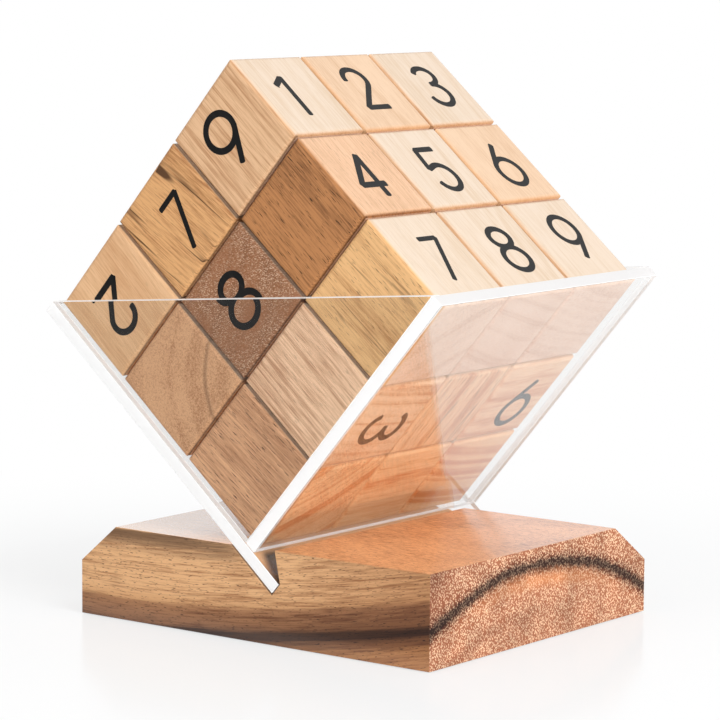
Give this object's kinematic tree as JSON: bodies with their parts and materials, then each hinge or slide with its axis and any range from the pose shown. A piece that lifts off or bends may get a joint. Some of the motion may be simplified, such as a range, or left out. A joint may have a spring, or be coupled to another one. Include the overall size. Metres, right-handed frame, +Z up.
{
  "type": "sudoku cube puzzle",
  "caption": "Number puzzle of loose wooden cubes stacked on edge in a clear V-shaped tray, whose longer side stands in a slanted groove of a wooden base.",
  "frame": {"origin": "middle of the base's underside", "axes": "+Z up; +X to the right seen from the front, across the V; +Y from the front to the back, along the V"},
  "size_m": [0.1123, 0.0842, 0.128],
  "materials": {
    "base_wood": "oiled tropical hardwood",
    "clear_sheet": "clear polished sheet with frosted cut edges",
    "pale_wood": "sanded, waxed",
    "tan_wood": "sanded, waxed",
    "brown_wood": "sanded, waxed",
    "dark_wood": "sanded, waxed",
    "number_paint": "flat black paint"
  },
  "bodies": {
    "base": {"base": "base_wood"},
    "tray": {"long_side_panel": "clear_sheet", "short_side_panel": "clear_sheet", "front_end_panel": "clear_sheet", "rear_end_panel": "clear_sheet"},
    "front_cube_r1_c1": {"front_cube_r1_c1": "brown_wood"},
    "front_cube_r1_c2": {"front_cube_r1_c2": "tan_wood"},
    "front_cube_r1_c3": {"front_cube_r1_c3": "tan_wood"},
    "front_cube_r2_c1": {"front_cube_r2_c1": "tan_wood"},
    "front_cube_r2_c2": {"front_cube_r2_c2": "brown_wood"},
    "front_cube_r2_c3": {"front_cube_r2_c3": "dark_wood"},
    "front_cube_r3_c1": {"front_cube_r3_c1": "tan_wood"},
    "front_cube_r3_c2": {"front_cube_r3_c2": "tan_wood"},
    "front_cube_r3_c3": {"front_cube_r3_c3": "pale_wood"},
    "middle_cube_r1_c1": {"middle_cube_r1_c1": "tan_wood"},
    "middle_cube_r1_c2": {"middle_cube_r1_c2": "brown_wood"},
    "middle_cube_r1_c3": {"middle_cube_r1_c3": "pale_wood"},
    "middle_cube_r2_c1": {"middle_cube_r2_c1": "brown_wood"},
    "middle_cube_r2_c2": {"middle_cube_r2_c2": "tan_wood"},
    "middle_cube_r2_c3": {"middle_cube_r2_c3": "pale_wood"},
    "middle_cube_r3_c1": {"middle_cube_r3_c1": "pale_wood"},
    "middle_cube_r3_c2": {"middle_cube_r3_c2": "tan_wood"},
    "middle_cube_r3_c3": {"middle_cube_r3_c3": "pale_wood"},
    "rear_cube_r1_c1": {"rear_cube_r1_c1": "tan_wood"},
    "rear_cube_r1_c2": {"rear_cube_r1_c2": "pale_wood"},
    "rear_cube_r1_c3": {"rear_cube_r1_c3": "pale_wood"},
    "rear_cube_r2_c1": {"rear_cube_r2_c1": "brown_wood"},
    "rear_cube_r2_c2": {"rear_cube_r2_c2": "tan_wood"},
    "rear_cube_r2_c3": {"rear_cube_r2_c3": "pale_wood"},
    "rear_cube_r3_c1": {"rear_cube_r3_c1": "tan_wood"},
    "rear_cube_r3_c2": {"rear_cube_r3_c2": "brown_wood"},
    "rear_cube_r3_c3": {"rear_cube_r3_c3": "pale_wood"}
  },
  "joints": [
    {"name": "tray_lift", "type": "slide", "parent": "base", "child": "tray", "axis": [-0.7581, 0, 0.6521], "range_m": [0, 0.03]},
    {"name": "front_cube_r1_c1_lift", "type": "slide", "parent": "tray", "child": "front_cube_r1_c1", "axis": [-0.7581, 0, 0.6521], "range_m": [0, 0.08]},
    {"name": "front_cube_r1_c2_lift", "type": "slide", "parent": "tray", "child": "front_cube_r1_c2", "axis": [-0.7581, 0, 0.6521], "range_m": [0, 0.08]},
    {"name": "front_cube_r1_c3_lift", "type": "slide", "parent": "tray", "child": "front_cube_r1_c3", "axis": [-0.7581, 0, 0.6521], "range_m": [0, 0.08]},
    {"name": "front_cube_r2_c1_lift", "type": "slide", "parent": "front_cube_r1_c1", "child": "front_cube_r2_c1", "axis": [-0.7581, 0, 0.6521], "range_m": [0, 0.055]},
    {"name": "front_cube_r2_c2_lift", "type": "slide", "parent": "front_cube_r1_c2", "child": "front_cube_r2_c2", "axis": [-0.7581, 0, 0.6521], "range_m": [0, 0.055]},
    {"name": "front_cube_r2_c3_lift", "type": "slide", "parent": "front_cube_r1_c3", "child": "front_cube_r2_c3", "axis": [-0.7581, 0, 0.6521], "range_m": [0, 0.055]},
    {"name": "front_cube_r3_c1_lift", "type": "slide", "parent": "front_cube_r2_c1", "child": "front_cube_r3_c1", "axis": [-0.7581, 0, 0.6521], "range_m": [0, 0.03]},
    {"name": "front_cube_r3_c2_lift", "type": "slide", "parent": "front_cube_r2_c2", "child": "front_cube_r3_c2", "axis": [-0.7581, 0, 0.6521], "range_m": [0, 0.03]},
    {"name": "front_cube_r3_c3_lift", "type": "slide", "parent": "front_cube_r2_c3", "child": "front_cube_r3_c3", "axis": [-0.7581, 0, 0.6521], "range_m": [0, 0.03]},
    {"name": "middle_cube_r1_c1_lift", "type": "slide", "parent": "tray", "child": "middle_cube_r1_c1", "axis": [-0.7581, 0, 0.6521], "range_m": [0, 0.08]},
    {"name": "middle_cube_r1_c2_lift", "type": "slide", "parent": "tray", "child": "middle_cube_r1_c2", "axis": [-0.7581, 0, 0.6521], "range_m": [0, 0.08]},
    {"name": "middle_cube_r1_c3_lift", "type": "slide", "parent": "tray", "child": "middle_cube_r1_c3", "axis": [-0.7581, 0, 0.6521], "range_m": [0, 0.08]},
    {"name": "middle_cube_r2_c1_lift", "type": "slide", "parent": "middle_cube_r1_c1", "child": "middle_cube_r2_c1", "axis": [-0.7581, 0, 0.6521], "range_m": [0, 0.055]},
    {"name": "middle_cube_r2_c2_lift", "type": "slide", "parent": "middle_cube_r1_c2", "child": "middle_cube_r2_c2", "axis": [-0.7581, 0, 0.6521], "range_m": [0, 0.055]},
    {"name": "middle_cube_r2_c3_lift", "type": "slide", "parent": "middle_cube_r1_c3", "child": "middle_cube_r2_c3", "axis": [-0.7581, 0, 0.6521], "range_m": [0, 0.055]},
    {"name": "middle_cube_r3_c1_lift", "type": "slide", "parent": "middle_cube_r2_c1", "child": "middle_cube_r3_c1", "axis": [-0.7581, 0, 0.6521], "range_m": [0, 0.03]},
    {"name": "middle_cube_r3_c2_lift", "type": "slide", "parent": "middle_cube_r2_c2", "child": "middle_cube_r3_c2", "axis": [-0.7581, 0, 0.6521], "range_m": [0, 0.03]},
    {"name": "middle_cube_r3_c3_lift", "type": "slide", "parent": "middle_cube_r2_c3", "child": "middle_cube_r3_c3", "axis": [-0.7581, 0, 0.6521], "range_m": [0, 0.03]},
    {"name": "rear_cube_r1_c1_lift", "type": "slide", "parent": "tray", "child": "rear_cube_r1_c1", "axis": [-0.7581, 0, 0.6521], "range_m": [0, 0.08]},
    {"name": "rear_cube_r1_c2_lift", "type": "slide", "parent": "tray", "child": "rear_cube_r1_c2", "axis": [-0.7581, 0, 0.6521], "range_m": [0, 0.08]},
    {"name": "rear_cube_r1_c3_lift", "type": "slide", "parent": "tray", "child": "rear_cube_r1_c3", "axis": [-0.7581, 0, 0.6521], "range_m": [0, 0.08]},
    {"name": "rear_cube_r2_c1_lift", "type": "slide", "parent": "rear_cube_r1_c1", "child": "rear_cube_r2_c1", "axis": [-0.7581, 0, 0.6521], "range_m": [0, 0.055]},
    {"name": "rear_cube_r2_c2_lift", "type": "slide", "parent": "rear_cube_r1_c2", "child": "rear_cube_r2_c2", "axis": [-0.7581, 0, 0.6521], "range_m": [0, 0.055]},
    {"name": "rear_cube_r2_c3_lift", "type": "slide", "parent": "rear_cube_r1_c3", "child": "rear_cube_r2_c3", "axis": [-0.7581, 0, 0.6521], "range_m": [0, 0.055]},
    {"name": "rear_cube_r3_c1_lift", "type": "slide", "parent": "rear_cube_r2_c1", "child": "rear_cube_r3_c1", "axis": [-0.7581, 0, 0.6521], "range_m": [0, 0.03]},
    {"name": "rear_cube_r3_c2_lift", "type": "slide", "parent": "rear_cube_r2_c2", "child": "rear_cube_r3_c2", "axis": [-0.7581, 0, 0.6521], "range_m": [0, 0.03]},
    {"name": "rear_cube_r3_c3_lift", "type": "slide", "parent": "rear_cube_r2_c3", "child": "rear_cube_r3_c3", "axis": [-0.7581, 0, 0.6521], "range_m": [0, 0.03]}
  ]
}
